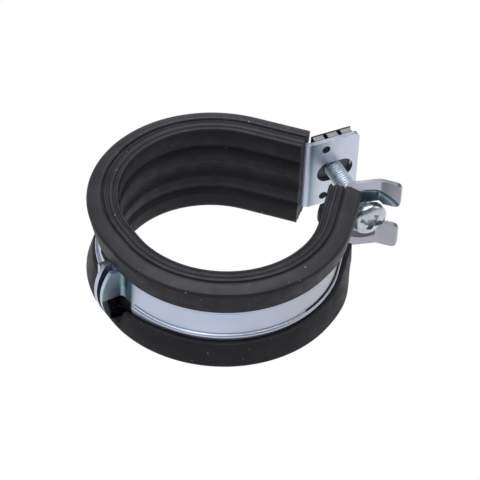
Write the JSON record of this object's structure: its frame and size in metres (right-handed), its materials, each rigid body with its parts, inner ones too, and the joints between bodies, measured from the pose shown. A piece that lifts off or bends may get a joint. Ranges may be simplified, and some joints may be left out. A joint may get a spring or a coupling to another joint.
{
  "type": "rubber lined pipe clamp",
  "caption": "Two-part steel pipe clamp with a wide black rubber liner, hooked at one side and closed by one screw in a forked flange, with a threaded boss behind.",
  "frame": {"origin": "centre of the pipe seat of the rear half, half way up its width", "axes": "+Z along the pipe axis, +Y from the pipe towards the rear half, +X towards the closing screw"},
  "size_m": [0.1024, 0.0915, 0.034],
  "materials": {
    "zinc_strip": "zinc plated, satin",
    "zinc_fastener": "zinc plated, semi bright",
    "black_rubber": "matt, slightly dusty",
    "dark_clip": "dark, matt"
  },
  "bodies": {
    "rear_half": {"rear_band": "zinc_strip", "rear_liner": "black_rubber", "nut_plate": "zinc_fastener", "nut_retainer": "dark_clip", "connection_boss": "zinc_strip"},
    "front_half": {"front_band": "zinc_strip", "front_liner": "black_rubber"},
    "ring": {"captive_ring": "zinc_fastener"},
    "screw": {"closing_screw": "zinc_fastener"}
  },
  "joints": [
    {"name": "front_swing", "type": "hinge", "parent": "rear_half", "child": "front_half", "pos_m": [-0.03655, -0.00691, 0], "axis": [0, 0, 1], "range_deg": [-1, 10.5]},
    {"name": "screw_advance", "type": "slide", "parent": "rear_half", "child": "ring", "axis": [0, 1, 0], "range_m": [-0.0015, 0.01564]},
    {"name": "screw_turn", "type": "hinge", "parent": "ring", "child": "screw", "pos_m": [0.0487, 0, 0], "axis": [0, 1, 0], "range_deg": [-541, 5633]}
  ],
  "couplings": [
    {"joint": "screw_advance", "follows": "front_swing", "m_per_rad": 0.0853},
    {"joint": "screw_turn", "follows": "front_swing", "ratio": 535.96}
  ]
}
